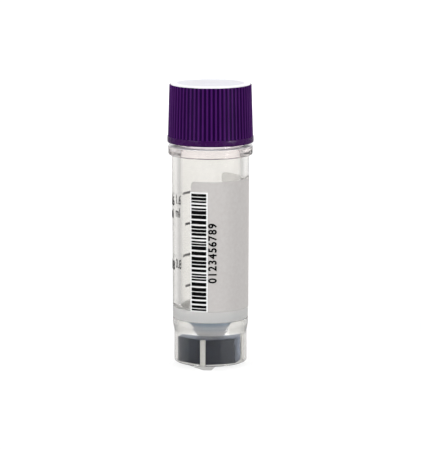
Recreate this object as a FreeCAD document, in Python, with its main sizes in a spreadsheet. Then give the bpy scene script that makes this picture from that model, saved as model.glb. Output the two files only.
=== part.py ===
import FreeCAD, Part
import math
import os
import Sketcher

# Self-standing cryovial with an external screw cap. All lengths are in millimetres and angles in degrees.
# The tube stands on its feet at height 0 and its axis is Z. The front of the vial faces -Y.

sizes = {
    # bore, walls and the body's outer form
    "boreMouthRadius": 4.95,
    "boreDraft": 0.1,
    "bodyWall": 1.3,
    "bodyDraft": 0.12,
    "bodyHeight": 27.95,
    "shoulderHeight": 1.15,
    "coneHeight": 3.8,
    "coneTipRadius": 2.0,
    "coneTipRound": 1.4,
    "coneWall": 0.65,
    "floorWall": 0.9,
    "hollowDepth": 2.8,
    # skirt, keys and feet
    "skirtStep": 0.22,
    "skirtWall": 0.5,
    "skirtMargin": 0.8,
    "skirtEdgeRound": 0.22,
    "keyCount": 3,
    "keyTurn": 16.5,
    "keyWidth": 0.8,
    "keyDepth": 0.5,
    "footHeight": 0.6,
    "footReach": 0.25,
    "footFlatWidth": 1.35,
    "footFlatStart": 0.15,
    "footRampRun": 2.5,
    "footStepRun": 0.6,
    # neck, its thread and the flange
    "neckWall": 0.55,
    "neckLand": 0.35,
    "mouthRound": 0.15,
    "threadLead": 3.0,
    "threadTurns": 1.5,
    "threadDepth": 0.45,
    "threadRoot": 1.1,
    "threadCrest": 0.5,
    "threadLift": 2.3,
    "threadGap": 0.1,
    "flankGap": 0.12,
    "flangeInset": 0.16,
    "flangeHeight": 1.5,
    "flangeRound": 0.3,
    # seal
    "sealThickness": 0.6,
    "sealInset": 0.65,
    "sealOverhang": 0.2,
    # cap and its insert
    "capGap": 0.55,
    "capWall": 0.64,
    "ribTaper": 0.27,
    "ribStep": 0.07,
    "ribCount": 60,
    "fluteRadius": 0.24,
    "fluteDepth": 0.2,
    "bandHeight": 0.95,
    "bandFootRound": 0.12,
    "bandShoulderRound": 0.05,
    "capMouthRound": 0.1,
    "capEdgeRound": 0.12,
    "deckThickness": 0.75,
    "recessDepth": 0.9,
    "recessInset": 0.3,
    "insertFit": 0.03,
    "lipMargin": 0.19,
    "lipWidth": 1.0,
    "lipThickness": 0.25,
    "lipRound": 0.08,
    "fieldDepth": 0.12,
    # hexagonal plug under the floor
    "plugRecess": 0.2,
    "plugHeight": 4.1,
    "plugGap": 0.2,
    "plugClearance": 0.08,
    "plugEdge": 0.15,
    "plugFit": 0.04,
    "codeMargin": 1.35,
    "codeTurn": -45.0,
    # printing
    "inkThickness": 0.04,
    "inkGap": 0.01,
    "patchLift": 2.85,
    "patchHeadroom": 3.7,
    "patchCorner": 0.6,
    "patchTurn": -120.0,
    "patchSpan": 189.5,
    "panelMargin": 0.25,
    "barcodeHeadroom": 1.7,
    "barcodeInset": 1.1,
    "barcodeSpan": 22.6,
    "barCount": 30,
    "tickLift": 5.45,
    "tickPitch": 5.2,
    "tickCount": 4,
    "tickWidth": 0.4,
    "tickTurn": 130.0,
    "tickLongSpan": 31.5,
    "tickShortSpan": 18.3,
}

# where a constraint takes hold of a line, and the sketch's own origin and axes
_, START, END, CENTRE = range(4)
ORIGIN = (-1, START)
HORIZONTAL_AXIS, VERTICAL_AXIS = range(-1, -3, -1)
TOLERANCE = 1e-4
CUTTING_FEATURES = ("PartDesign::Groove", "PartDesign::Pocket", "PartDesign::SubtractiveCylinder")

doc = FreeCAD.newDocument("cryovial")
sheet = doc.addObject("Spreadsheet::Sheet", "Sizes")
for row, (alias, number) in enumerate(sizes.items(), start=1):
    sheet.set(f"A{row}", alias)
    sheet.set(f"B{row}", str(number))
    sheet.setAlias(f"B{row}", alias)
doc.recompute()


# ---- heights and radii that follow from the sheet ----

boreLowRadius = "Sizes.boreMouthRadius - Sizes.boreDraft"
bodyLowRadius = f"{boreLowRadius} + Sizes.bodyWall"
bodyHighRadius = f"{bodyLowRadius} + Sizes.bodyDraft"
skirtRadius = f"{bodyLowRadius} - Sizes.skirtStep"
hollowRadius = f"{skirtRadius} - Sizes.skirtWall"
keyInnerRadius = f"{hollowRadius} - Sizes.keyDepth"
footOuterRadius = f"{hollowRadius} + Sizes.footReach"
plugRadius = f"{hollowRadius} - Sizes.plugClearance"
codeRadius = f"{plugRadius} - Sizes.codeMargin"
neckRadius = "Sizes.boreMouthRadius + Sizes.neckWall"
threadRadius = f"{neckRadius} + Sizes.threadDepth"
sealInnerRadius = "Sizes.boreMouthRadius - Sizes.sealInset"
sealOuterRadius = f"{neckRadius} + Sizes.sealOverhang"
capBoreRadius = f"{threadRadius} + Sizes.threadGap"
ribHighRadius = f"{capBoreRadius} + Sizes.capWall"
ribLowRadius = f"{ribHighRadius} + Sizes.ribTaper"
bandRadius = f"{ribLowRadius} + Sizes.ribStep"
flangeRadius = f"{bandRadius} - Sizes.flangeInset"
lipRadius = f"{ribHighRadius} - Sizes.lipMargin"
fieldRadius = f"{lipRadius} - Sizes.lipWidth"
recessRadius = f"{fieldRadius} - Sizes.recessInset"

skirtEdge = "Sizes.footHeight"
plugBottom = f"{skirtEdge} + Sizes.plugRecess"
plugTop = f"{plugBottom} + Sizes.plugHeight"
skirtTop = f"{plugTop} + Sizes.skirtMargin"
bodyBottom = f"{skirtTop} + Sizes.shoulderHeight"
flangeBottom = f"{bodyBottom} + Sizes.bodyHeight"
flangeTop = f"{flangeBottom} + Sizes.flangeHeight"
neckThreadBottom = f"{flangeTop} + Sizes.threadLift"
neckThreadTop = f"{neckThreadBottom} + Sizes.threadTurns * Sizes.threadLead + Sizes.threadRoot / 2"
rimTop = f"{neckThreadTop} + Sizes.neckLand"
shellBottom = f"{plugTop} + Sizes.plugGap"
hollowTop = f"{shellBottom} + Sizes.hollowDepth"
boreFloor = f"{shellBottom} + Sizes.floorWall"
coneTop = f"{boreFloor} + Sizes.coneHeight"
coneSlope = f"({boreLowRadius} - Sizes.coneTipRadius) / Sizes.coneHeight"
shellTipRadius = f"Sizes.coneTipRadius + Sizes.coneWall - {coneSlope} * Sizes.floorWall"
shellTopRadius = f"{shellTipRadius} + {coneSlope} * Sizes.hollowDepth"
capBottom = f"{flangeTop} + Sizes.capGap"
bandTop = f"{capBottom} + Sizes.bandHeight"
deckBottom = f"{rimTop} + Sizes.sealThickness"
recessFloor = f"{deckBottom} + Sizes.deckThickness"
capTop = f"{recessFloor} + Sizes.recessDepth"
lipTop = f"{capTop} + Sizes.lipThickness"
flankRun = "(Sizes.threadRoot - Sizes.threadCrest) / 2 / Sizes.threadDepth"
threadDrop = f"Sizes.threadRoot - {flankRun} * (Sizes.threadDepth + Sizes.threadGap) + Sizes.flankGap"
capThreadBottom = f"{neckThreadBottom} - ({threadDrop})"

patchBottom = f"{bodyBottom} + Sizes.patchLift"
patchTop = f"{flangeBottom} - Sizes.patchHeadroom"
barcodeBottom = f"{patchBottom} + Sizes.panelMargin"
barcodeTop = f"{patchTop} - Sizes.barcodeHeadroom - Sizes.panelMargin"
barcodeTurn = "Sizes.patchTurn + Sizes.barcodeInset"
tickBottom = f"{bodyBottom} + Sizes.tickLift"


def value(expression):
    """Number that an expression gives now."""
    result = sheet.evalExpression(str(expression))
    return float(getattr(result, "Value", result))


def wall_radius(height):
    """Outer radius of the drafted body at a height, as an expression."""
    return f"{bodyLowRadius} + Sizes.bodyDraft / Sizes.bodyHeight * ({height} - ({bodyBottom}))"


# ---- sketch helpers ----

def origin_feature(body, role):
    return next(feature for feature in body.Origin.OriginFeatures if feature.Role == role)


def new_body(name):
    body = doc.addObject("PartDesign::Body", name)
    body.Label = name
    return body


def new_sketch(body, name, plane):
    sketch = body.newObject("Sketcher::SketchObject", name)
    sketch.AttachmentSupport = [(origin_feature(body, plane), "")]
    sketch.MapMode = "FlatFace"
    return sketch


def bind_corner(sketch, line, direction, expression):
    """Hold the start of a line at a distance from the origin, or on an axis where that distance is 0."""
    if expression == "0":
        axis = VERTICAL_AXIS if direction == "DistanceX" else HORIZONTAL_AXIS
        sketch.addConstraint(Sketcher.Constraint("PointOnObject", line, START, axis))
        return
    constraint = Sketcher.Constraint(direction, *ORIGIN, line, START, value(expression))
    number = sketch.addConstraint(constraint)
    sketch.setExpression(f"Constraints[{number}]", expression)


def draw_outline(sketch, corners):
    """Closed outline whose corners are pairs of expressions."""
    points = [FreeCAD.Vector(value(x), value(y), 0) for x, y in corners]
    for start, end in zip(points, points[1:] + points[:1]):
        sketch.addGeometry(Part.LineSegment(start, end), False)
    for line, (x, y) in enumerate(corners):
        following = (line + 1) % len(corners)
        sketch.addConstraint(Sketcher.Constraint("Coincident", line, END, following, START))
        bind_corner(sketch, line, "DistanceX", x)
        bind_corner(sketch, line, "DistanceY", y)


def draw_polygon(sketch, sides, radius):
    """Regular polygon about the origin, with its first corner on the horizontal axis."""
    step = 2 * math.pi / sides
    corners = [
        FreeCAD.Vector(value(radius) * math.cos(number * step), value(radius) * math.sin(number * step), 0)
        for number in range(sides)
    ]
    for start, end in zip(corners, corners[1:] + corners[:1]):
        sketch.addGeometry(Part.LineSegment(start, end), False)
    circle = sketch.addGeometry(Part.Circle(FreeCAD.Vector(), FreeCAD.Vector(0, 0, 1), value(radius)), True)
    sketch.addConstraint(Sketcher.Constraint("Coincident", circle, CENTRE, *ORIGIN))
    for line in range(sides):
        following = (line + 1) % sides
        sketch.addConstraint(Sketcher.Constraint("Coincident", line, END, following, START))
        sketch.addConstraint(Sketcher.Constraint("PointOnObject", line, START, circle))
        if line > 0:
            sketch.addConstraint(Sketcher.Constraint("Equal", 0, line))
    sketch.addConstraint(Sketcher.Constraint("PointOnObject", 0, START, HORIZONTAL_AXIS))
    number = sketch.addConstraint(Sketcher.Constraint("Radius", circle, value(radius)))
    sketch.setExpression(f"Constraints[{number}]", radius)


# ---- feature helpers ----

def revolve(body, name, corners, kind="PartDesign::Revolution", span=None):
    """Turn a half section about the axis: x is the radius and y is the height."""
    sketch = new_sketch(body, name + "Section", "XZ_Plane")
    draw_outline(sketch, corners)
    feature = body.newObject(kind, name)
    feature.Profile = sketch
    feature.ReferenceAxis = (sketch, ["V_Axis"])
    feature.Angle = 360
    if span:
        feature.setExpression("Angle", span)
    doc.recompute()
    return feature


def add_thread(body, name, root_radius, crest_radius, bottom):
    """Right-hand ridge whose root sinks a little into the wall that carries it."""
    half_root = "Sizes.threadRoot / 2"
    half_crest = "Sizes.threadCrest / 2"
    corners = [
        (root_radius, f"{bottom} - {half_root}"),
        (crest_radius, f"{bottom} - {half_crest}"),
        (crest_radius, f"{bottom} + {half_crest}"),
        (root_radius, f"{bottom} + {half_root}"),
    ]
    sketch = new_sketch(body, name + "Section", "XZ_Plane")
    draw_outline(sketch, corners)
    helix = body.newObject("PartDesign::AdditiveHelix", name)
    helix.Profile = sketch
    helix.ReferenceAxis = (sketch, ["V_Axis"])
    helix.Mode = "pitch-turns-angle"
    helix.setExpression("Pitch", "Sizes.threadLead")
    helix.setExpression("Turns", "Sizes.threadTurns")
    doc.recompute()
    return helix


def polar_pattern(body, name, originals, count):
    pattern = body.newObject("PartDesign::PolarPattern", name)
    pattern.Originals = originals
    pattern.Axis = (origin_feature(body, "Z_Axis"), [""])
    pattern.Angle = 360
    pattern.setExpression("Occurrences", count)
    body.Tip = pattern
    doc.recompute()
    return pattern


def circle_edges(shape, radius, height):
    """Names of the full circles about the axis that have a radius and lie at a height."""
    names = []
    for number, edge in enumerate(shape.Edges, start=1):
        curve = edge.Curve
        if not isinstance(curve, Part.Circle) or not edge.isClosed():
            continue
        same_radius = abs(curve.Radius - value(radius)) < TOLERANCE
        if same_radius and abs(curve.Center.z - value(height)) < TOLERANCE:
            names.append(f"Edge{number}")
    return names


def round_edges(body, name, base, edges, size, kind="PartDesign::Fillet"):
    """Fillet or chamfer edges that are given by name."""
    feature = body.newObject(kind, name)
    feature.Base = (base, edges)
    feature.setExpression("Radius" if kind == "PartDesign::Fillet" else "Size", size)
    doc.recompute()
    return feature


# ---- tube ----

def make_tube():
    """Clear moulding: threaded neck, flange, drafted body, conical floor, skirt, keys and feet."""
    body = new_body("tube")
    outer = revolve(body, "outerForm", [
        ("0", "0"),
        (footOuterRadius, "0"),
        (footOuterRadius, skirtEdge),
        (skirtRadius, skirtEdge),
        (skirtRadius, skirtTop),
        (bodyLowRadius, bodyBottom),
        (bodyHighRadius, flangeBottom),
        (flangeRadius, flangeBottom),
        (flangeRadius, flangeTop),
        (neckRadius, flangeTop),
        (neckRadius, rimTop),
        ("0", rimTop),
    ])
    flange_edges = circle_edges(outer.Shape, flangeRadius, flangeBottom)
    flange = round_edges(body, "flangeEdge", outer, flange_edges, "Sizes.flangeRound")
    skirt_edges = circle_edges(flange.Shape, skirtRadius, skirtEdge)
    round_edges(body, "skirtEdge", flange, skirt_edges, "Sizes.skirtEdgeRound")
    revolve(body, "bore", [
        ("0", boreFloor),
        ("Sizes.coneTipRadius", boreFloor),
        (boreLowRadius, coneTop),
        ("Sizes.boreMouthRadius", rimTop),
        ("0", rimTop),
    ], kind="PartDesign::Groove")
    hollow = revolve(body, "hollow", [
        ("0", "0"),
        (hollowRadius, "0"),
        (hollowRadius, hollowTop),
        (shellTopRadius, hollowTop),
        (shellTipRadius, shellBottom),
        ("0", shellBottom),
    ], kind="PartDesign::Groove")
    tip_edges = circle_edges(hollow.Shape, "Sizes.coneTipRadius", boreFloor)
    tip = round_edges(body, "floorEdge", hollow, tip_edges, "Sizes.coneTipRound")
    mouth_edges = circle_edges(tip.Shape, "Sizes.boreMouthRadius", rimTop)
    mouth_edges += circle_edges(tip.Shape, neckRadius, rimTop)
    round_edges(body, "mouthEdges", tip, mouth_edges, "Sizes.mouthRound")
    add_thread(body, "neckThread", f"{neckRadius} - Sizes.threadGap", threadRadius, neckThreadBottom)
    polar_pattern(body, "keysAndFeet", [add_key(body), cut_beside_foot(body)], "Sizes.keyCount")
    body.setExpression("Placement.Rotation.Angle", "Sizes.keyTurn")
    return body


def add_key(body):
    """Upright rib inside the skirt that keeps the plug from turning."""
    sketch = new_sketch(body, "keySection", "XZ_Plane")
    outer = f"{hollowRadius} + Sizes.skirtWall / 2"
    draw_outline(sketch, [
        (keyInnerRadius, skirtEdge),
        (outer, skirtEdge),
        (outer, plugTop),
        (keyInnerRadius, plugTop),
    ])
    key = body.newObject("PartDesign::Pad", "key")
    key.Profile = sketch
    key.Midplane = True
    key.setExpression("Length", "Sizes.keyWidth")
    doc.recompute()
    return key


def cut_beside_foot(body):
    """Cut the skirt's foot ring away on both sides of a foot, which keeps a long ramp and a short step."""
    sketch = new_sketch(body, "footGapSection", "YZ_Plane")
    flat_end = "Sizes.footFlatStart + Sizes.footFlatWidth"
    draw_outline(sketch, [
        (f"-({skirtRadius})", "-Sizes.footHeight"),
        (f"-({skirtRadius})", skirtEdge),
        ("Sizes.footFlatStart - Sizes.footRampRun", skirtEdge),
        ("Sizes.footFlatStart", "0"),
        (flat_end, "0"),
        (f"{flat_end} + Sizes.footStepRun", skirtEdge),
        (skirtRadius, skirtEdge),
        (skirtRadius, "-Sizes.footHeight"),
    ])
    gap = body.newObject("PartDesign::Pocket", "footGap")
    gap.Profile = sketch
    gap.Reversed = True
    gap.setExpression("Length", skirtRadius)
    doc.recompute()
    return gap


# ---- cap, insert and seal ----

def make_cap():
    """Ribbed screw cap: the ribs stand on a tapered wall that ends in a plain band."""
    body = new_body("cap")
    wall = revolve(body, "wallForm", [
        ("0", capBottom),
        (ribLowRadius, capBottom),
        (ribHighRadius, capTop),
        ("0", capTop),
    ])
    edges = circle_edges(wall.Shape, ribHighRadius, capTop)
    round_edges(body, "topEdge", wall, edges, "Sizes.capEdgeRound")
    polar_pattern(body, "ribs", [add_flute(body)], "Sizes.ribCount")
    flute_floor = f"{ribLowRadius} - 2 * Sizes.fluteDepth"
    band = revolve(body, "band", [
        (flute_floor, capBottom),
        (bandRadius, capBottom),
        (bandRadius, bandTop),
        (flute_floor, bandTop),
    ])
    edges = circle_edges(band.Shape, bandRadius, bandTop)
    shoulder = round_edges(body, "bandShoulder", band, edges, "Sizes.bandShoulderRound")
    edges = circle_edges(shoulder.Shape, bandRadius, capBottom)
    round_edges(body, "bandFoot", shoulder, edges, "Sizes.bandFootRound")
    revolve(body, "recess", [
        ("0", recessFloor),
        (recessRadius, recessFloor),
        (recessRadius, capTop),
        ("0", capTop),
    ], kind="PartDesign::Groove")
    inside = revolve(body, "inside", [
        ("0", capBottom),
        (capBoreRadius, capBottom),
        (capBoreRadius, deckBottom),
        ("0", deckBottom),
    ], kind="PartDesign::Groove")
    edges = circle_edges(inside.Shape, capBoreRadius, capBottom)
    round_edges(body, "capMouth", inside, edges, "Sizes.capMouthRound")
    thread_root = f"{capBoreRadius} + Sizes.threadGap"
    add_thread(body, "capThread", thread_root, f"{neckRadius} + Sizes.threadGap", capThreadBottom)
    body.setExpression("Placement.Rotation.Angle", "Sizes.keyTurn")
    return body


def add_flute(body):
    """Round groove between two ribs, leaning with the wall's taper and longer than the wall."""
    rise = f"({capTop}) - ({capBottom})"
    lean = f"atan(Sizes.ribTaper / ({rise}))"
    flute = body.newObject("PartDesign::SubtractiveCylinder", "flute")
    flute.setExpression("Radius", "Sizes.fluteRadius")
    flute.setExpression("Height", f"({rise}) / cos({lean}) + 2 * Sizes.bandHeight")
    flute.Placement.Rotation.Axis = FreeCAD.Vector(0, -1, 0)
    middle = f"{ribLowRadius} + Sizes.fluteRadius - Sizes.fluteDepth"
    flute.setExpression("Placement.Base.x", f"{middle} + Sizes.bandHeight * tan({lean})")
    flute.setExpression("Placement.Base.z", f"{capBottom} - Sizes.bandHeight")
    flute.setExpression("Placement.Rotation.Angle", lean)
    doc.recompute()
    return flute


def make_cap_insert():
    """Disc whose boss presses into the cap's recess and whose lip covers the cap's top."""
    body = new_body("cap_insert")
    boss_radius = f"{recessRadius} - Sizes.insertFit"
    field = f"{lipTop} - Sizes.fieldDepth"
    disc = revolve(body, "disc", [
        ("0", recessFloor),
        (boss_radius, recessFloor),
        (boss_radius, capTop),
        (lipRadius, capTop),
        (lipRadius, lipTop),
        (fieldRadius, lipTop),
        (fieldRadius, field),
        ("0", field),
    ])
    edges = circle_edges(disc.Shape, lipRadius, lipTop)
    edges += circle_edges(disc.Shape, fieldRadius, lipTop)
    round_edges(body, "lipEdges", disc, edges, "Sizes.lipRound")
    return body


def make_seal():
    """Flat ring on the tube's rim, pressed by the cap's deck."""
    body = new_body("seal")
    revolve(body, "ring", [
        (sealInnerRadius, rimTop),
        (sealOuterRadius, rimTop),
        (sealOuterRadius, deckBottom),
        (sealInnerRadius, deckBottom),
    ])
    return body


# ---- plug under the floor ----

def make_base_insert():
    """Hexagonal plug whose corners are notched for the tube's keys."""
    body = new_body("base_insert")
    sketch = new_sketch(body, "hexagonSection", "XY_Plane")
    sketch.setExpression("AttachmentOffset.Base.z", plugBottom)
    draw_polygon(sketch, 6, plugRadius)
    hexagon = body.newObject("PartDesign::Pad", "hexagon")
    hexagon.Profile = sketch
    hexagon.setExpression("Length", "Sizes.plugHeight")
    doc.recompute()
    edges = level_edges(hexagon.Shape, plugBottom) + level_edges(hexagon.Shape, plugTop)
    round_edges(body, "plugEdges", hexagon, edges, "Sizes.plugEdge", kind="PartDesign::Chamfer")
    polar_pattern(body, "notches", [add_notch(body)], "Sizes.keyCount")
    body.setExpression("Placement.Rotation.Angle", "Sizes.keyTurn")
    return body


def add_notch(body):
    sketch = new_sketch(body, "notchSection", "XZ_Plane")
    inner = f"{keyInnerRadius} - Sizes.plugFit"
    draw_outline(sketch, [
        (inner, "0"),
        (skirtRadius, "0"),
        (skirtRadius, skirtTop),
        (inner, skirtTop),
    ])
    notch = body.newObject("PartDesign::Pocket", "notch")
    notch.Profile = sketch
    notch.Midplane = True
    notch.setExpression("Length", "Sizes.keyWidth + 2 * Sizes.plugFit")
    doc.recompute()
    return notch


def level_edges(shape, height):
    """Names of the edges that lie wholly at a height."""
    names = []
    for number, edge in enumerate(shape.Edges, start=1):
        if all(abs(vertex.Z - value(height)) < TOLERANCE for vertex in edge.Vertexes):
            names.append(f"Edge{number}")
    return names


def make_code_field():
    """Square printed field on the plug's underside, in line with two of its flats."""
    body = new_body("code_field")
    sketch = new_sketch(body, "fieldSection", "XY_Plane")
    sketch.setExpression("AttachmentOffset.Base.z", f"{plugBottom} - Sizes.inkThickness")
    draw_polygon(sketch, 4, codeRadius)
    field = body.newObject("PartDesign::Pad", "field")
    field.Profile = sketch
    field.setExpression("Length", "Sizes.inkThickness")
    body.setExpression("Placement.Rotation.Angle", "Sizes.keyTurn + Sizes.codeTurn")
    doc.recompute()
    return body


# ---- printing on the wall ----

def layer_radii(height, layer):
    """Inner and outer radius of a printed layer at a height; layer 0 lies on the wall."""
    step = "(Sizes.inkThickness + Sizes.inkGap)"
    inner = f"{wall_radius(height)} + Sizes.inkGap + {layer} * {step}"
    return inner, f"{inner} + Sizes.inkThickness"


def make_printed_field(name, bottom, top, turn, span, layer):
    """Printed field that wraps round the wall."""
    body = new_body(name)
    low_inner, low_outer = layer_radii(bottom, layer)
    high_inner, high_outer = layer_radii(top, layer)
    revolve(body, name + "Form", [
        (low_inner, bottom),
        (low_outer, bottom),
        (high_outer, top),
        (high_inner, top),
    ], span=span)
    body.setExpression("Placement.Rotation.Angle", turn)
    return body


def make_writing_patch():
    turn = "Sizes.patchTurn"
    body = make_printed_field("writing_patch", patchBottom, patchTop, turn, "Sizes.patchSpan", 0)
    form = body.Tip
    corners = [
        f"Edge{number}"
        for number, edge in enumerate(form.Shape.Edges, start=1)
        if abs(edge.Length - value("Sizes.inkThickness")) < TOLERANCE
    ]
    round_edges(body, "patchCorners", form, corners, "Sizes.patchCorner")
    return body


def make_barcode_panel():
    margin_turn = f"Sizes.panelMargin / ({bodyLowRadius}) * 180 / pi"
    top = f"{barcodeTop} + Sizes.panelMargin"
    turn = f"{barcodeTurn} - {margin_turn}"
    span = f"Sizes.barcodeSpan + 2 * {margin_turn}"
    return make_printed_field("barcode_panel", patchBottom, top, turn, span, 1)


def wall_print(bottom, top, turn, span, layer):
    """One printed mark on the wall, from numbers in millimetres and degrees."""
    low_inner, low_outer = [value(radius) for radius in layer_radii(bottom, layer)]
    high_inner, high_outer = [value(radius) for radius in layer_radii(top, layer)]
    outline = Part.makePolygon([
        FreeCAD.Vector(low_inner, 0, bottom),
        FreeCAD.Vector(low_outer, 0, bottom),
        FreeCAD.Vector(high_outer, 0, top),
        FreeCAD.Vector(high_inner, 0, top),
        FreeCAD.Vector(low_inner, 0, bottom),
    ])
    axis = FreeCAD.Vector(0, 0, 1)
    mark = Part.Face(outline).revolve(FreeCAD.Vector(), axis, span)
    mark.rotate(FreeCAD.Vector(), axis, turn)
    return mark


def new_feature(name, shapes):
    feature = doc.addObject("Part::Feature", name)
    feature.Label = name
    feature.Shape = Part.makeCompound(shapes)
    return feature


def make_barcode_bars():
    """Bars of two to four modules and gaps of one or two, set by a plain rule that encodes nothing."""
    count = int(value("Sizes.barCount"))
    bars = [2 + (number * number + number // 3) % 3 for number in range(count)]
    gaps = [1 + (number * number + number // 2) % 2 for number in range(count)]
    gaps[-1] = 0
    bottom = value(barcodeBottom)
    module = (value(barcodeTop) - bottom) / (sum(bars) + sum(gaps))
    marks = []
    for bar, gap in zip(bars, gaps):
        top = bottom + bar * module
        marks.append(wall_print(bottom, top, value(barcodeTurn), value("Sizes.barcodeSpan"), 2))
        bottom = top + gap * module
    return new_feature("barcode_bars", marks)


def make_graduations():
    """Volume marks, long and short in turn, that start at the same side."""
    marks = []
    for number in range(int(value("Sizes.tickCount"))):
        span = value("Sizes.tickLongSpan" if number % 2 else "Sizes.tickShortSpan")
        middle = value(tickBottom) + number * value("Sizes.tickPitch")
        half = value("Sizes.tickWidth") / 2
        marks.append(wall_print(middle - half, middle + half, value("Sizes.tickTurn"), span, 0))
    return new_feature("graduations", marks)


# ---- build, check and write ----

parts = [
    make_tube(),
    make_cap(),
    make_cap_insert(),
    make_seal(),
    make_base_insert(),
    make_code_field(),
    make_writing_patch(),
    make_barcode_panel(),
    make_barcode_bars(),
    make_graduations(),
]
doc.recompute()


def check_document():
    for obj in doc.Objects:
        if "Invalid" in obj.State or "Error" in obj.State:
            raise RuntimeError(f"{obj.Name} failed: {obj.State}")
    for part in parts:
        if part.Shape.isNull() or not part.Shape.isValid() or part.Shape.Volume <= 0:
            raise RuntimeError(f"{part.Label} has no valid solid")


def check_cuts():
    """A cut that points the wrong way leaves the volume as it was."""
    for obj in doc.Objects:
        if obj.TypeId not in CUTTING_FEATURES:
            continue
        if obj.Shape.Volume >= obj.BaseFeature.Shape.Volume - TOLERANCE:
            raise RuntimeError(f"{obj.Name} removes nothing")


check_document()
check_cuts()
os.makedirs("parts", exist_ok=True)
for part in parts:
    part.Shape.exportStep(f"parts/{part.Label}.step")
    print(part.Label, len(part.Shape.Solids), round(part.Shape.Volume, 3))
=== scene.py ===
import bmesh
import bpy
import math
from mathutils import Matrix, Vector


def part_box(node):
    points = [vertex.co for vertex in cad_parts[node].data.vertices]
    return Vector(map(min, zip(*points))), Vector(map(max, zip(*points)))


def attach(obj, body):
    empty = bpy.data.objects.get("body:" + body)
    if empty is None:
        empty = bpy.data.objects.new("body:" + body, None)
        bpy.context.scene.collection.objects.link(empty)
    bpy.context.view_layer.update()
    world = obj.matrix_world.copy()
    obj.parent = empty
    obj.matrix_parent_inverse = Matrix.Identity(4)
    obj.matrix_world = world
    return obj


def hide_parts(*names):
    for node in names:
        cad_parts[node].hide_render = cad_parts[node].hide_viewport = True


# Self-standing sample vial: clear moulded tube, ribbed purple cap with a white insert,
# hexagonal plug in the skirt, writing patch, bar pattern, digits and volume marks.
# Sizes in the dictionaries are millimetres and degrees; 0 degrees is +X, the front is at -90.

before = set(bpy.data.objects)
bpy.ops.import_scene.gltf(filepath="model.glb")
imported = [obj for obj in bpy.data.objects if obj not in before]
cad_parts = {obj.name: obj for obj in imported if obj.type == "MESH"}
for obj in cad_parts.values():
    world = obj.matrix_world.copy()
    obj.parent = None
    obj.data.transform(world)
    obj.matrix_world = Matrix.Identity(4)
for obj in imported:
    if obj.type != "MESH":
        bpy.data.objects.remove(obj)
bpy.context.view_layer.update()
print("frame loaded,", len(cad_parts), "solids")

mm = 0.001
front = -90


# small mesh builders: paths and outlines are in millimetres, meshes in metres

def addObject(name, mesh, material=None):
    obj = bpy.data.objects.new(name, mesh)
    bpy.context.scene.collection.objects.link(obj)
    if material:
        mesh.materials.clear()
        mesh.materials.append(material)
    return obj


def dropObject(obj):
    bpy.data.objects.remove(obj, do_unlink=True)


def smoothByAngle(mesh, degrees=32):
    mesh.shade_smooth()
    mesh.set_sharp_from_angle(angle=math.radians(degrees))


def roundedPath(corners, steps=6):
    # corners are (radius, height, rounding); the two ends of the path stay as they are
    path = []
    for n, (radius, height, size) in enumerate(corners):
        here = Vector((radius, height))
        if not size or n in (0, len(corners) - 1):
            path.append(here)
            continue
        back = Vector(corners[n - 1][:2]) - here
        ahead = Vector(corners[n + 1][:2]) - here
        half = back.angle(ahead) / 2
        reach = min(size / math.tan(half), back.length * 0.48, ahead.length * 0.48)
        size = reach * math.tan(half)
        centre = here + (back.normalized() + ahead.normalized()).normalized() * size / math.sin(half)
        first = here + back.normalized() * reach - centre
        last = here + ahead.normalized() * reach - centre
        start = math.atan2(first.y, first.x)
        sweep = math.atan2(last.y, last.x) - start
        sweep = (sweep + math.pi) % (2 * math.pi) - math.pi
        for k in range(steps + 1):
            angle = start + sweep * k / steps
            path.append(centre + Vector((math.cos(angle), math.sin(angle))) * size)
    return path


def polar(radius, angle, height):
    # place round the axis, from millimetres and radians to metres
    return (radius * math.cos(angle) * mm, radius * math.sin(angle) * mm, height * mm)


def lathe(name, path, steps, material, weights=None):
    # turn a half section round Z; a point on the axis is one shared point, so the poles are closed
    points, faces, rings, weightOf = [], [], [], []
    for n, (radius, height) in enumerate(path):
        onAxis = radius < 1e-6
        count = 1 if onAxis else steps
        rings.append([len(points)] * steps if onAxis else list(range(len(points), len(points) + steps)))
        for k in range(count):
            points.append(polar(radius, 2 * math.pi * k / steps, height))
            weightOf.append(weights[n] if weights else 0.0)
    for low, high in zip(rings, rings[1:]):
        for k in range(steps):
            j = (k + 1) % steps
            corners = [low[k], low[j], high[j], high[k]]
            faces.append([c for i, c in enumerate(corners) if c != corners[i - 1]])
    mesh = bpy.data.meshes.new(name)
    mesh.from_pydata(points, [], faces)
    if weights:
        mesh.attributes.new("fluted", "FLOAT", "POINT").data.foreach_set("value", weightOf)
    mesh.validate()
    smoothByAngle(mesh)
    return addObject(name, mesh, material)


def turnOutwards(mesh):
    shell = bmesh.new()
    shell.from_mesh(mesh)
    bmesh.ops.recalc_face_normals(shell, faces=shell.faces)
    shell.to_mesh(mesh)
    shell.free()


def sweptMesh(name, rings):
    # closed shell through rings of points, with a face at each end
    size = len(rings[0])
    points = [point for ring in rings for point in ring]
    faces = []
    for k in range(len(rings) - 1):
        for n in range(size):
            m = (n + 1) % size
            faces.append([k * size + n, k * size + m, (k + 1) * size + m, (k + 1) * size + n])
    faces += [list(range(size)), list(range(len(points) - size, len(points)))]
    mesh = bpy.data.meshes.new(name)
    mesh.from_pydata(points, [], faces)
    turnOutwards(mesh)
    smoothByAngle(mesh)
    return mesh


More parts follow.
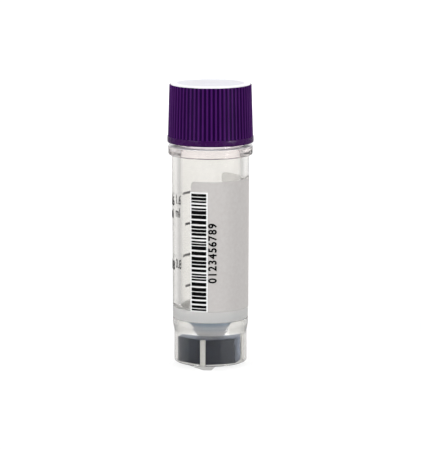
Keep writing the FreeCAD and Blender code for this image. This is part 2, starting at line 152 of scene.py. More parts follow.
def prism(name, outline, low, high, bevel):
    # upright block from a flat outline, with its sharp edges rounded
    shell = bmesh.new()
    floor = [shell.verts.new((x * mm, y * mm, low * mm)) for x, y in outline]
    roof = [shell.verts.new((x * mm, y * mm, high * mm)) for x, y in outline]
    shell.faces.new(list(reversed(floor)))
    shell.faces.new(roof)
    for n in range(len(outline)):
        m = (n + 1) % len(outline)
        shell.faces.new((floor[n], floor[m], roof[m], roof[n]))
    bmesh.ops.recalc_face_normals(shell, faces=shell.faces)
    sharp = [edge for edge in shell.edges if edge.calc_face_angle() > math.radians(20)]
    bmesh.ops.bevel(shell, geom=sharp, offset=bevel * mm, segments=3, affect="EDGES", profile=0.5)
    mesh = bpy.data.meshes.new(name)
    shell.to_mesh(mesh)
    shell.free()
    smoothByAngle(mesh)
    return addObject(name, mesh)


def finishedMesh(obj):
    bpy.context.view_layer.update()
    return bpy.data.meshes.new_from_object(obj.evaluated_get(bpy.context.evaluated_depsgraph_get()))


def settle(obj):
    # what the modifiers make becomes the mesh itself
    result = finishedMesh(obj)
    obj.modifiers.clear()
    obj.data = result


def unite(obj, others):
    for other in others:
        joint = obj.modifiers.new("join " + other.name, "BOOLEAN")
        joint.operation = "UNION"
        joint.solver = "MANIFOLD"
        joint.material_mode = "TRANSFER"
        joint.object = other
    settle(obj)
    for other in others:
        dropObject(other)
    smoothByAngle(obj.data)


def gather(name, objects, material):
    # several closed shells as one piece
    shell = bmesh.new()
    for obj in objects:
        shell.from_mesh(obj.data)
    mesh = bpy.data.meshes.new(name)
    shell.to_mesh(mesh)
    shell.free()
    for obj in objects:
        dropObject(obj)
    smoothByAngle(mesh)
    return addObject(name, mesh, material)


# shorthand for node trees, shared by the Geometry Nodes and the materials

def newTree(name, inputs):
    tree = bpy.data.node_groups.new(name, "GeometryNodeTree")
    tree.interface.new_socket("Geometry", in_out="INPUT", socket_type="NodeSocketGeometry")
    for label, kind in inputs:
        tree.interface.new_socket(label, in_out="INPUT", socket_type="NodeSocket" + kind)
    tree.interface.new_socket("Geometry", in_out="OUTPUT", socket_type="NodeSocketGeometry")
    return tree, tree.nodes.new("NodeGroupInput"), tree.nodes.new("NodeGroupOutput")


def addNode(tree, kind, **settings):
    node = tree.nodes.new(kind)
    for key, value in settings.items():
        setattr(node, key, value)
    return node


def feed(tree, socket, value):
    if isinstance(value, bpy.types.NodeSocket):
        tree.links.new(value, socket)
    else:
        socket.default_value = value


def calc(tree, operation, *values):
    node = addNode(tree, "ShaderNodeMath", operation=operation)
    for socket, value in zip(node.inputs, values):
        feed(tree, socket, value)
    return node.outputs[0]


def remap(tree, value, source, target, **settings):
    node = addNode(tree, "ShaderNodeMapRange", **settings)
    labels = ("Value", "From Min", "From Max", "To Min", "To Max")
    for label, number in zip(labels, (value, *source, *target)):
        feed(tree, node.inputs[label], number)
    return node.outputs["Result"]


def vector(tree, x, y, z):
    node = tree.nodes.new("ShaderNodeCombineXYZ")
    for socket, value in zip(node.inputs, (x, y, z)):
        feed(tree, socket, value)
    return node.outputs[0]


def finishTree(tree, geometry, material, groupOut):
    real = tree.nodes.new("GeometryNodeRealizeInstances")
    paint = tree.nodes.new("GeometryNodeSetMaterial")
    tree.links.new(geometry, real.inputs["Geometry"])
    tree.links.new(real.outputs["Geometry"], paint.inputs["Geometry"])
    tree.links.new(material, paint.inputs["Material"])
    tree.links.new(paint.outputs["Geometry"], groupOut.inputs["Geometry"])


def runTree(obj, tree, values):
    modifier = obj.modifiers.new(tree.name, "NODES")
    modifier.node_group = tree
    for item in tree.interface.items_tree:
        if item.in_out == "INPUT" and item.name in values:
            modifier[item.identifier] = values[item.name]
    settle(obj)


# finishes: colours are display values, and each soft edge is (nothing, full) in millimetres

def linear(red, green, blue):
    # display values 0 to 255 as scene colour
    shares = [value / 255 for value in (red, green, blue)]
    return tuple(v / 12.92 if v < 0.04045 else ((v + 0.055) / 1.055) ** 2.4 for v in shares) + (1.0,)


def startMaterial(name, sockets):
    material = bpy.data.materials.new(name)
    material.use_nodes = True
    tree = material.node_tree
    shader = tree.nodes["Principled BSDF"]
    for label, value in sockets.items():
        shader.inputs[label].default_value = value
    return material, tree, shader


def objectNoise(tree, scale, detail=3.0, stretch=(1, 1, 1)):
    place = tree.nodes.new("ShaderNodeTexCoord")
    mapping = tree.nodes.new("ShaderNodeMapping")
    mapping.inputs["Scale"].default_value = stretch
    noise = tree.nodes.new("ShaderNodeTexNoise")
    noise.inputs["Scale"].default_value = scale
    noise.inputs["Detail"].default_value = detail
    tree.links.new(place.outputs["Object"], mapping.inputs["Vector"])
    tree.links.new(mapping.outputs["Vector"], noise.inputs["Vector"])
    return noise.outputs["Fac"]


def spread(tree, value, low=0.0, high=1.0):
    # noise lies mostly between 0.3 and 0.7
    return remap(tree, value, (0.3, 0.7), (low, high))


def mixColour(tree, factor, first, second):
    blend = addNode(tree, "ShaderNodeMix", data_type="RGBA")
    for label, value in (("Factor", factor), ("A", first), ("B", second)):
        feed(tree, blend.inputs[label], value)
    return blend.outputs["Result"]


def twoTone(tree, shader, value, dark, light):
    tree.links.new(mixColour(tree, spread(tree, value), dark, light), shader.inputs["Base Color"])


def addBump(tree, shader, value, strength, distance):
    bump = tree.nodes.new("ShaderNodeBump")
    bump.inputs["Strength"].default_value = strength
    bump.inputs["Distance"].default_value = distance * mm
    tree.links.new(value, bump.inputs["Height"])
    tree.links.new(bump.outputs["Normal"], shader.inputs["Normal"])


def flatLength(tree, x, y):
    square = calc(tree, "ADD", calc(tree, "MULTIPLY", x, x), calc(tree, "MULTIPLY", y, y))
    return calc(tree, "SQRT", square)


def coordinates(tree, kind="Object"):
    place = tree.nodes.new("ShaderNodeTexCoord")
    parts = tree.nodes.new("ShaderNodeSeparateXYZ")
    tree.links.new(place.outputs[kind], parts.inputs[0])
    return parts.outputs


def fromAxis(tree):
    # distance from the tube's axis and height, both in millimetres
    x, y, z = coordinates(tree)
    return calc(tree, "DIVIDE", flatLength(tree, x, y), mm), calc(tree, "DIVIDE", z, mm)


def ramp(tree, value, start, end):
    # 0 before start, 1 after end; start may be the larger one
    source, target = ((end, start), (1.0, 0.0)) if start > end else ((start, end), (0.0, 1.0))
    return remap(tree, value, source, target, interpolation_type="SMOOTHSTEP")


def zone(tree, places, edges):
    # 1 where every soft edge is passed; places holds the value that each edge is about
    inside = None
    for name, value in places.items():
        if name in edges:
            step = ramp(tree, value, *edges[name])
            inside = calc(tree, "MULTIPLY", inside, step) if inside else step
    return inside


plasticIor = 1.49
flowStretch = (1, 1, 0.12)  # flow lines run up the moulding

# zones of the clear moulding: the bore's floor, the hollow's roof, the wedge of plastic round the floor,
# the skirt's wall, the funnel under the floor with its painted blue-grey shade, the flange with its top ledge
# in a painted pink reflection of the cap, and the cap's painted lilac reflection on the ledge and neck
clearFinish = {
    "flowTones": (linear(245, 244, 241), linear(248, 247, 245)), "flowScale": 900, "flowDepth": (0.06, 0.02),
    "grainScale": 1500, "roughness": (0.03, 0.07), "transmission": 0.995, "hazeLoss": 0.55,
    "smoke": (0.42, 0.37, 0.33, 1.0), "smokeDensity": 45.0,
    "floor": {"radius": (5.15, 5.0), "low": (4.95, 5.05), "high": (10.4, 9.4), "tone": linear(252, 252, 251),
              "rough": 0.5},
    "hollowRoof": {"radius": (5.6, 5.5), "low": (7.8, 7.88), "high": (8.3, 8.1)},
    "wedge": {"low": (7.8, 8.2), "high": (10.0, 9.6), "share": 0.8},
    "skirt": {"radius": (5.6, 5.8), "low": (4.9, 5.6), "high": (8.4, 7.95), "share": 0.25},
    # the funnel's tones run from near white low down to blue-grey higher up: painted shade
    "funnel": {"radius": (5.0, 4.6), "high": (7.86, 7.8), "cone": (2.25, 2.45), "tip": 6.0, "slope": 0.75,
               "fade": (5.6, 7.3), "haze": (1.8, 0.6),
               "paintedShadeTones": (linear(248, 248, 252), linear(120, 150, 178))},
    # the collar's pinkish tone is a painted reflection of the purple cap; its haze and roughness are the
    # plastic's own
    "collar": {"low": (34.6, 34.9), "high": (36.29, 36.15), "tone": linear(255, 248, 247), "haze": 0.15,
               "rough": 0.03},
    "ledge": {"low": (36.2, 36.28), "high": (36.34, 36.31), "haze": 1.7},
    # lilac over the ledge and the neck below the cap: a painted reflection of the purple cap
    "paintedCapReflection": {"low": (36.2, 36.28), "high": (37.0, 36.8), "tone": linear(255, 246, 255)},
}


def clearPlastic():
    # clear, with flow lines along the tube, a frosted floor and a hazy collar; the funnel is painted
    # blue-grey as shade, and the collar and ledge carry a painted pink and lilac reflection of the cap
    material, tree, shader = startMaterial("clearPolypropylene", {
        "IOR": plasticIor, "Subsurface Radius": (1, 1, 1), "Subsurface Scale": 1.0 * mm})
    f = clearFinish
    radius, height = fromAxis(tree)
    lean = calc(tree, "MULTIPLY", calc(tree, "SUBTRACT", height, f["funnel"]["tip"]), f["funnel"]["slope"])
    places = {"radius": radius, "cone": calc(tree, "SUBTRACT", radius, lean), "low": height, "high": height}
    floor, roof, wedge, skirt, funnel, collar, ledge, paintedCapReflection = [zone(tree, places, f[part]) for part in (
        "floor", "hollowRoof", "wedge", "skirt", "funnel", "collar", "ledge", "paintedCapReflection")]
    wedge = calc(tree, "MULTIPLY", wedge, f["wedge"]["share"])
    sides = calc(tree, "MULTIPLY_ADD", skirt, f["skirt"]["share"], wedge)
    floor = calc(tree, "MAXIMUM", floor, calc(tree, "MAXIMUM", roof, sides))
    flow = objectNoise(tree, f["flowScale"], 3.0, flowStretch)
    tone = mixColour(tree, spread(tree, flow), *f["flowTones"])
    tone = mixColour(tree, floor, tone, f["floor"]["tone"])
    up = ramp(tree, height, *f["funnel"]["fade"])
    # painted shade: the funnel turns blue-grey towards its top
    tone = mixColour(tree, funnel, tone, mixColour(tree, up, *f["funnel"]["paintedShadeTones"]))
    # painted reflection: the purple cap tints the collar pink
    tone = mixColour(tree, collar, tone, f["collar"]["tone"])
    # painted reflection: the cap's lilac on the ledge and neck
    tone = mixColour(tree, paintedCapReflection, tone, f["paintedCapReflection"]["tone"])
    tree.links.new(tone, shader.inputs["Base Color"])
    deep, shallow = f["funnel"]["haze"]
    cloud = calc(tree, "MULTIPLY_ADD", up, shallow - deep, deep)
    haze = calc(tree, "MULTIPLY_ADD", collar, f["collar"]["haze"], floor)
    haze = calc(tree, "MULTIPLY_ADD", ledge, f["ledge"]["haze"], haze)
    haze = calc(tree, "MULTIPLY_ADD", funnel, cloud, haze)
    clearness = calc(tree, "MULTIPLY_ADD", haze, -f["hazeLoss"], f["transmission"])
    tree.links.new(clearness, shader.inputs["Transmission Weight"])
    rough = spread(tree, objectNoise(tree, f["grainScale"]), *f["roughness"])
    rough = calc(tree, "MULTIPLY_ADD", collar, f["collar"]["rough"], rough)
    tree.links.new(calc(tree, "MULTIPLY_ADD", floor, f["floor"]["rough"], rough), shader.inputs["Roughness"])
    tree.links.new(calc(tree, "MAXIMUM", ledge, collar), shader.inputs["Subsurface Weight"])
    addBump(tree, shader, flow, *f["flowDepth"])
    smoke = tree.nodes.new("ShaderNodeVolumeAbsorption")
    smoke.inputs["Color"].default_value = f["smoke"]
    smoke.inputs["Density"].default_value = f["smokeDensity"]
    tree.links.new(smoke.outputs["Volume"], tree.nodes["Material Output"].inputs["Volume"])
    return material


def frostedPlastic():
    # the same plastic on the keys, nearly opaque and white: painted light standing in for the light that the
    # clear keys reflect inside them
    material, tree, shader = startMaterial("paintedKeyLightPolypropylene", {
        "IOR": plasticIor, "Transmission Weight": 0.1})
    flow = objectNoise(tree, clearFinish["flowScale"], 3.0, flowStretch)
    twoTone(tree, shader, flow, linear(246, 246, 243), linear(251, 251, 248))
    grain = objectNoise(tree, clearFinish["grainScale"])
    tree.links.new(spread(tree, grain, 0.35, 0.5), shader.inputs["Roughness"])
    return material


# what the opaque mouldings share: scales of the shade, of the gloss and of the grain
opaque = {"shade": (260, 2.0), "gloss": 1200, "grain": (2500, 4.0), "grainDepth": 0.01}

capFinish = {
    # valley: the purple darkened as painted shade for the grooves between the ribs
    "crest": (linear(74, 27, 99), linear(80, 31, 105)), "valley": (linear(33, 0, 58), linear(38, 0, 64)),
    "band": (linear(51, 6, 70), linear(57, 10, 76)), "bandEdge": (37.9, 37.75),
    "specular": 0.06, "bandSpecular": 0.2, "roughness": (0.34, 0.46), "bandRoughness": -0.14, "grain": 0.08,
}


def capPlastic():
    # purple, darker down in the grooves between the ribs as painted shade, glossier on the band
    material, tree, shader = startMaterial("purplePolypropylene", {"IOR": plasticIor})
    f = capFinish
    band = ramp(tree, fromAxis(tree)[1], *f["bandEdge"])
    shine = calc(tree, "MULTIPLY_ADD", band, f["bandSpecular"], f["specular"])
    tree.links.new(shine, shader.inputs["Specular IOR Level"])
    groove = addNode(tree, "ShaderNodeAttribute", attribute_name="groove")
    shade = spread(tree, objectNoise(tree, *opaque["shade"]))
    crest, valley, plain = [mixColour(tree, shade, *f[part]) for part in ("crest", "valley", "band")]
    # painted shade: the colour darkens from the crests down into the grooves
    grooveShaded = mixColour(tree, groove.outputs["Fac"], crest, valley)
    tree.links.new(mixColour(tree, band, grooveShaded, plain), shader.inputs["Base Color"])
    rough = spread(tree, objectNoise(tree, opaque["gloss"]), *f["roughness"])
    tree.links.new(calc(tree, "MULTIPLY_ADD", band, f["bandRoughness"], rough), shader.inputs["Roughness"])
    addBump(tree, shader, objectNoise(tree, *opaque["grain"]), f["grain"], opaque["grainDepth"])
    return material


insertFinish = {
    "field": (linear(225, 224, 231), linear(230, 229, 236)),
    "rim": (linear(250, 250, 252), linear(253, 253, 254)), "rimEdge": (5.44, 5.52),
    "specular": 0.3, "roughness": (0.35, 0.45), "grain": 0.06,
}


def insertPlastic():
    # white: the raised rim is brighter than the satin field inside it
    f = insertFinish
    material, tree, shader = startMaterial("whitePolypropylene", {
        "IOR": plasticIor, "Specular IOR Level": f["specular"]})
    shade = spread(tree, objectNoise(tree, *opaque["shade"]))
    field, rim = [mixColour(tree, shade, *f[part]) for part in ("field", "rim")]
    edge = ramp(tree, fromAxis(tree)[0], *f["rimEdge"])
    tree.links.new(mixColour(tree, edge, field, rim), shader.inputs["Base Color"])
    rough = spread(tree, objectNoise(tree, opaque["gloss"]), *f["roughness"])
    tree.links.new(rough, shader.inputs["Roughness"])
    addBump(tree, shader, objectNoise(tree, *opaque["grain"]), f["grain"], opaque["grainDepth"])
    return material


def mouldedPlastic(name, dark, light, roughness, grain, strength, sockets):
    material, tree, shader = startMaterial(name, dict(sockets, IOR=plasticIor))
    twoTone(tree, shader, objectNoise(tree, *opaque["shade"]), dark, light)
    tree.links.new(spread(tree, objectNoise(tree, opaque["gloss"]), *roughness), shader.inputs["Roughness"])
    addBump(tree, shader, objectNoise(tree, grain, 4.0), strength, opaque["grainDepth"])
    return material


# scales of an ink's shade, gloss and grain, and how deep the grain is
inkFinish = {"shade": (1800, 5.0), "gloss": 2600, "grain": (4200, 5.0), "depth": (0.15, 0.008)}


def printedInk(name, dark, light, roughness=(0.5, 0.65), sockets=()):
    material, tree, shader = startMaterial(name, {"Specular IOR Level": 0.2, **dict(sockets)})
    twoTone(tree, shader, objectNoise(tree, *inkFinish["shade"]), dark, light)
    gloss = objectNoise(tree, inkFinish["gloss"])
    tree.links.new(spread(tree, gloss, *roughness), shader.inputs["Roughness"])
    addBump(tree, shader, objectNoise(tree, *inkFinish["grain"]), *inkFinish["depth"])
    return material


clear = clearPlastic()
# the keys' white stands in for the light reflected inside them: painted light
paintedKeyLight = frostedPlastic()
purple = capPlastic()
white = insertPlastic()
silicone = mouldedPlastic("siliconeRubber", linear(205, 206, 204), linear(215, 216, 214), (0.5, 0.6),
                          2500, 0.08, {"Specular IOR Level": 0.3})
# black plastic, tinted blue in its tones and its coat: the blue is a painted reflection of a bluish
# surrounding
black = mouldedPlastic("blackPolypropylene", linear(17, 22, 35), linear(25, 32, 48), (0.08, 0.14),
                       1600, 0.03, {"Coat Weight": 0.75, "Coat Roughness": 0.42,
                                    "Coat Tint": linear(190, 215, 255)})
patchInk = printedInk("writingInk", linear(199, 195, 193), linear(205, 202, 200), (0.7, 0.85))
whiteInk = printedInk("whiteInk", linear(248, 248, 248), linear(252, 252, 252))
underprint = printedInk("underprint", linear(246, 246, 245), linear(251, 251, 250), sockets={
    "Subsurface Weight": 1.0, "Subsurface Radius": (1, 1, 1), "Subsurface Scale": 0.4 * mm})
blackInk = printedInk("blackInk", linear(4, 4, 5), linear(12, 12, 13), (0.45, 0.6), sockets={
    "Specular IOR Level": 0.05})
markInk = printedInk("markInk", linear(98, 100, 107), linear(120, 122, 129), (0.4, 0.55))
print("materials ready")


# tube: one moulding with thread, flange, conical floor, skirt, keys and feet

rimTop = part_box("tube")[1].z / mm

tube = {
    "steps": 288,
    "skirtRadius": 5.93, "skirtWall": 0.5, "skirtEdge": 0.6, "skirtTop": 5.7,
    "bodyBottom": 6.85, "bodyLowRadius": 6.15, "bodyHighRadius": 6.27,
    "flangeBottom": 34.8, "flangeTop": 36.3, "flangeRadius": 6.87,
    "neckRadius": 5.5, "mouthRadius": 4.95,
    "boreLowRadius": 4.85, "coneTop": 9.8, "coneTipRadius": 2.0, "boreFloor": 6.0,
    "shellBottom": 5.1, "shellTipRadius": 1.975, "shellTopRadius": 4.075, "hollowTop": 7.9,
}
keys = {"count": 3, "turn": 16.5, "width": 0.8, "depth": 0.5, "top": 4.9, "lift": 0.02, "sunk": 0.25,
        "bevel": 0.04}
feet = {"reach": 0.25, "flatStart": 0.15, "flatWidth": 1.35, "rampRun": 2.5, "stepRun": 0.6, "sink": 0.2,
        "inset": 0.03, "overrun": 1.08, "pieceLength": 0.3}
thread = {"turns": 1.5, "lead": 3.0, "rootWidth": 1.1, "crestWidth": 0.5, "depth": 0.45, "start": 16.5,
          "bottom": 38.6, "runOut": 24, "sunk": 0.1, "shoulder": (0.88, 1.12), "crestFlat": 0.8,
          "endDepth": 0.3, "endWidth": 0.5, "stepsPerTurn": 120}
wallSlope = (tube["bodyHighRadius"] - tube["bodyLowRadius"]) / (tube["flangeBottom"] - tube["bodyBottom"])


def wallRadius(height):
    return tube["bodyLowRadius"] + wallSlope * (height - tube["bodyBottom"])


def helixRidge(name, root, crest, bottom):
    # closed ridge with a rounded crest that fades in and out at its two ends
    t = thread
    shoulder, wide = t["shoulder"]
    halfRoot, halfCrest = t["rootWidth"] / 2, t["crestWidth"] / 2
    side = [(0, halfRoot), (shoulder, halfCrest * wide), (1, halfCrest * t["crestFlat"])]
    section = [(depth, -shift) for depth, shift in side] + side[::-1]
    count = int(t["stepsPerTurn"] * t["turns"])
    rings = []
    for k in range(count + 1):
        degrees = 360 * t["turns"] * k / count
        fade = min(1, degrees / t["runOut"], (360 * t["turns"] - degrees) / t["runOut"])
        fade = t["endDepth"] + (1 - t["endDepth"]) * fade * fade * (3 - 2 * fade)
        narrow = t["endWidth"] + (1 - t["endWidth"]) * fade
        turn = math.radians(degrees + t["start"])
        rise = bottom + t["lead"] * degrees / 360
        rings.append([polar(root + (crest - root) * depth * fade, turn, rise + shift * narrow)
                      for depth, shift in section])
    return addObject(name, sweptMesh(name, rings))


def spreadRoundTree():
    # copies of one piece round the axis
    tree, given, out = newTree("spreadRound", [("Piece", "Object"), ("Count", "Int"), ("Turn", "Float"),
                                               ("Material", "Material")])
    points = addNode(tree, "GeometryNodePoints")
    tree.links.new(given.outputs["Count"], points.inputs["Count"])
    piece = addNode(tree, "GeometryNodeObjectInfo", transform_space="ORIGINAL")
    tree.links.new(given.outputs["Piece"], piece.inputs["Object"])
    index = addNode(tree, "GeometryNodeInputIndex").outputs[0]
    step = calc(tree, "DIVIDE", 2 * math.pi, given.outputs["Count"])
    turn = calc(tree, "MULTIPLY_ADD", index, step, given.outputs["Turn"])
    rotation = addNode(tree, "FunctionNodeEulerToRotation")
    tree.links.new(vector(tree, 0.0, 0.0, turn), rotation.inputs[0])
    copies = addNode(tree, "GeometryNodeInstanceOnPoints")
    tree.links.new(points.outputs[0], copies.inputs["Points"])
    tree.links.new(piece.outputs["Geometry"], copies.inputs["Instance"])
    tree.links.new(rotation.outputs[0], copies.inputs["Rotation"])
    finishTree(tree, copies.outputs[0], given.outputs["Material"], out)
    return tree


spreadRound = spreadRoundTree()


def roundTheSkirt(name, piece, material):
    holder = addObject(name, bpy.data.meshes.new(name))
    runTree(holder, spreadRound, {"Piece": piece, "Count": keys["count"], "Turn": math.radians(keys["turn"]),
                                  "Material": material})
    dropObject(piece)
    return holder


def makeTube():
    t = tube
    inner = t["skirtRadius"] - t["skirtWall"]
    path = roundedPath([  # radius, height, rounding
        (0, t["shellBottom"], 0),
        (t["shellTipRadius"], t["shellBottom"], 0.5),
        (t["shellTopRadius"], t["hollowTop"], 0.15),
        (inner, t["hollowTop"], 0.25),
        (inner, t["skirtEdge"], 0.1),
        (t["skirtRadius"], t["skirtEdge"], 0.22),
        (t["skirtRadius"], t["skirtTop"], 0.5),
        (t["bodyLowRadius"], t["bodyBottom"], 1.2),
        (t["bodyHighRadius"], t["flangeBottom"], 0.12),
        (t["flangeRadius"], t["flangeBottom"], 0.3),
        (t["flangeRadius"], t["flangeTop"], 0.1),
        (t["neckRadius"], t["flangeTop"], 0.2),
        (t["neckRadius"], rimTop, 0.15),
        (t["mouthRadius"], rimTop, 0.15),
        (t["boreLowRadius"], t["coneTop"], 1.0),
        (t["coneTipRadius"], t["boreFloor"], 1.4),
        (0, t["boreFloor"], 0),
    ], 7)
    body = lathe("tubeMoulding", path, t["steps"], clear)
    ridge = helixRidge("neckRidge", t["neckRadius"] - thread["sunk"], t["neckRadius"] + thread["depth"],
                       thread["bottom"])
    half, near, far = keys["width"] / 2, inner - keys["depth"], inner + keys["sunk"]
    key = prism("key", [(near, -half), (far, -half), (far, half), (near, half)],
                t["skirtEdge"] + keys["lift"], keys["top"], keys["bevel"])
    foot = footBlock(inner + feet["inset"], inner + feet["reach"])
    # the keys get the white plastic that is painted light for their inner reflections
    unite(body, [ridge, roundTheSkirt("keySet", key, paintedKeyLight), roundTheSkirt("footSet", foot, clear)])
    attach(body, "tube")
    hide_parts("tube")
    print("tube:", len(body.data.polygons), "faces")


def footBlock(inner, outer):
    # stands on a flat, with a long ramp on one side and a short step on the other; bent to the skirt
    edge, over = tube["skirtEdge"], feet["overrun"]
    flatEnd = feet["flatStart"] + feet["flatWidth"]
    rampEnd, stepEnd = feet["flatStart"] - feet["rampRun"] * over, flatEnd + feet["stepRun"] * over
    path = roundedPath([(rampEnd, edge * over, 0), (feet["flatStart"], 0, 0.6), (flatEnd, 0, 0.2),
                        (stepEnd, edge * over, 0)], 4)
    outline = []
    for here, ahead in zip(path, path[1:]):
        pieces = max(1, math.ceil((ahead - here).length / feet["pieceLength"]))
        outline += [here.lerp(ahead, k / pieces) for k in range(pieces)]
    outline.append(path[-1])
    top = edge + feet["sink"]
    rings = [[(math.sqrt(r * r - y * y) * mm, y * mm, h * mm)
              for r, h in ((inner, z), (outer, z), (outer, top), (inner, top))] for y, z in outline]
    return addObject("foot", sweptMesh("foot", rings))


makeTube()


# cap: ribs above a plain band, with a thread and a deck inside

capLow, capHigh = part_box("cap")
cap = {
    "ribs": 60, "stepsPerRib": 16, "ribDepth": 0.2, "valley": 0.40, "crest": 0.78, "turn": 16.5,
    "bottom": capLow.z / mm, "top": capHigh.z / mm, "bandRadius": capHigh.x / mm, "bandHeight": 0.95,
    "ribLowRadius": 6.96, "ribHighRadius": 6.69, "boreRadius": 6.05, "deckBottom": 44.6,
    "recessRadius": 5.2, "recessFloor": 45.35, "threadBottom": 37.747, "threadReach": 0.1, "bandStep": 0.02,
    "wallRows": 8, "edgeDepth": 0.12, "edgeRounding": 0.11, "rimOuter": 6.2, "rimInner": 5.9,
}


def ribTree():
    # grooves pressed into the wall wherever the point's own weight allows it
    tree, given, out = newTree("ribs", [("Count", "Float"), ("Depth", "Float"), ("Valley", "Float"),
                                        ("Crest", "Float"), ("Turn", "Float"), ("Material", "Material")])
    place = addNode(tree, "ShaderNodeSeparateXYZ")
    tree.links.new(addNode(tree, "GeometryNodeInputPosition").outputs[0], place.inputs[0])
    x, y = place.outputs[0], place.outputs[1]
    angle = calc(tree, "SUBTRACT", calc(tree, "ARCTAN2", y, x), given.outputs["Turn"])
    beats = calc(tree, "MULTIPLY", angle, calc(tree, "DIVIDE", given.outputs["Count"], 2 * math.pi))
    phase = calc(tree, "FRACT", calc(tree, "ADD", beats, 0.5))
    away = calc(tree, "MULTIPLY", calc(tree, "ABSOLUTE", calc(tree, "SUBTRACT", phase, 0.5)), 2.0)
    shape = remap(tree, away, (given.outputs["Valley"], given.outputs["Crest"]), (1.0, 0.0),
                  interpolation_type="SMOOTHSTEP")
    weight = addNode(tree, "GeometryNodeInputNamedAttribute", data_type="FLOAT")
    weight.inputs["Name"].default_value = "fluted"
    pressed = calc(tree, "MULTIPLY", shape, weight.outputs["Attribute"])
    depth = calc(tree, "MULTIPLY", pressed, given.outputs["Depth"])
    groove = addNode(tree, "GeometryNodeStoreNamedAttribute", data_type="FLOAT", domain="POINT")
    groove.inputs["Name"].default_value = "groove"
    tree.links.new(given.outputs["Geometry"], groove.inputs["Geometry"])
    feed(tree, groove.inputs["Value"], pressed)
    share = calc(tree, "DIVIDE", depth, calc(tree, "MAXIMUM", flatLength(tree, x, y), 1e-6))
    inwards = calc(tree, "MULTIPLY", share, -1.0)
    move = addNode(tree, "GeometryNodeSetPosition")
    tree.links.new(groove.outputs["Geometry"], move.inputs["Geometry"])
    offset = vector(tree, calc(tree, "MULTIPLY", x, inwards), calc(tree, "MULTIPLY", y, inwards), 0.0)
    tree.links.new(offset, move.inputs["Offset"])
    finishTree(tree, move.outputs[0], given.outputs["Material"], out)
    return tree


def makeCap():
    c = cap
    top, bottom, bandTop = c["top"], c["bottom"], c["bottom"] + c["bandHeight"]
    lean = (c["ribLowRadius"] - c["ribHighRadius"]) / (top - bottom)
    footRadius = c["ribLowRadius"] - lean * c["bandHeight"]
    inside = roundedPath([(0, c["deckBottom"], 0), (c["boreRadius"], c["deckBottom"], 0.25),
                          (c["boreRadius"], bottom, 0.1), (c["bandRadius"], bottom, 0.12),
                          (c["bandRadius"], bandTop, 0.05), (footRadius + c["bandStep"], bandTop, 0)], 4)
    wallFoot, wallHead = Vector((footRadius, bandTop)), Vector((c["ribHighRadius"], top - c["edgeDepth"]))
    wall = [wallFoot.lerp(wallHead, k / c["wallRows"]) for k in range(c["wallRows"] + 1)]
    edge = roundedPath([tuple(wallHead) + (0,), (c["ribHighRadius"], top, c["edgeRounding"]),
                        (c["rimOuter"], top, 0)], 4)[1:]
    roof = roundedPath([(c["rimInner"], top, 0), (c["recessRadius"], top, 0.05),
                        (c["recessRadius"], c["recessFloor"], 0.05), (0, c["recessFloor"], 0)], 3)
    path = inside + wall + edge + roof
    weights = [0.0] * len(inside) + [1.0] * (len(wall) + len(edge) - 1) + [0.0] * (len(roof) + 1)
    shell = lathe("capMoulding", path, c["ribs"] * c["stepsPerRib"], purple, weights)
    runTree(shell, ribTree(), {"Count": float(c["ribs"]), "Depth": c["ribDepth"] * mm, "Valley": c["valley"],
                               "Crest": c["crest"], "Turn": math.radians(c["turn"]), "Material": purple})
    root = c["boreRadius"] + thread["sunk"]
    ridge = helixRidge("capRidge", root, root - thread["depth"] - c["threadReach"], c["threadBottom"])
    shell.data.name = "ribbedWall"
    body = gather("capMoulding", [shell, ridge], purple)
    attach(body, "cap")
    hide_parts("cap")
    print("cap:", len(body.data.polygons), "faces")


makeCap()

insertLow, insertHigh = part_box("cap_insert")
insert = {
    "steps": 240, "bossRadius": 5.17, "floor": insertLow.z / mm, "lipRadius": insertHigh.x / mm,
    "lipTop": insertHigh.z / mm, "lipThickness": 0.25, "fieldRadius": 5.5, "fieldDepth": 0.12,
}


def makeInsert():
    i = insert
    under = i["lipTop"] - i["lipThickness"]
    field = i["lipTop"] - i["fieldDepth"]
    path = roundedPath([
        (0, i["floor"], 0), (i["bossRadius"], i["floor"], 0.1), (i["bossRadius"], under, 0),
        (i["lipRadius"], under, 0.02), (i["lipRadius"], i["lipTop"], 0.1),
        (i["fieldRadius"], i["lipTop"], 0.06), (i["fieldRadius"] - 0.05, field, 0.05), (0, field, 0),
    ], 5)
    body = lathe("capInsert", path, i["steps"], white)
    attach(body, "cap")
    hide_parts("cap_insert")
    print("insert:", len(body.data.polygons), "faces")


makeInsert()

sealLow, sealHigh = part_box("seal")
seal = {"steps": 144, "innerRadius": 4.3, "rounding": 0.12}


def makeSeal():
    low, high, outer, inner = sealLow.z / mm, sealHigh.z / mm, sealHigh.x / mm, seal["innerRadius"]
    middle, edge = (low + high) / 2, seal["rounding"]
    path = roundedPath([(inner, middle, 0), (inner, low, edge), (outer, low, edge), (outer, high, edge),
                        (inner, high, edge), (inner, middle, 0)], 5)
    body = lathe("sealRing", path, seal["steps"], silicone)
    shell = bmesh.new()  # the path ends where it began, so its first and last rings become one
    shell.from_mesh(body.data)
    bmesh.ops.remove_doubles(shell, verts=shell.verts, dist=1e-7)
    shell.to_mesh(body.data)
    shell.free()
    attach(body, "seal")
    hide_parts("seal")


makeSeal()


# plug: six flats held in the skirt, notched for the keys

plugLow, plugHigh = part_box("base_insert")
plug = {"radius": 5.35, "notchInner": 4.89, "notchWidth": 0.88, "turn": 16.5, "bevel": 0.1, "crown": 0.1,
        "low": plugLow.z / mm, "high": plugHigh.z / mm}


def crownedFlat(start, end, pieces=10):
    # the points between two corners, bulging a little outwards
    outwards = (start + end).normalized()
    return [start.lerp(end, k / pieces) + outwards * plug["crown"] * 4 * k * (pieces - k) / pieces ** 2
            for k in range(1, pieces)]


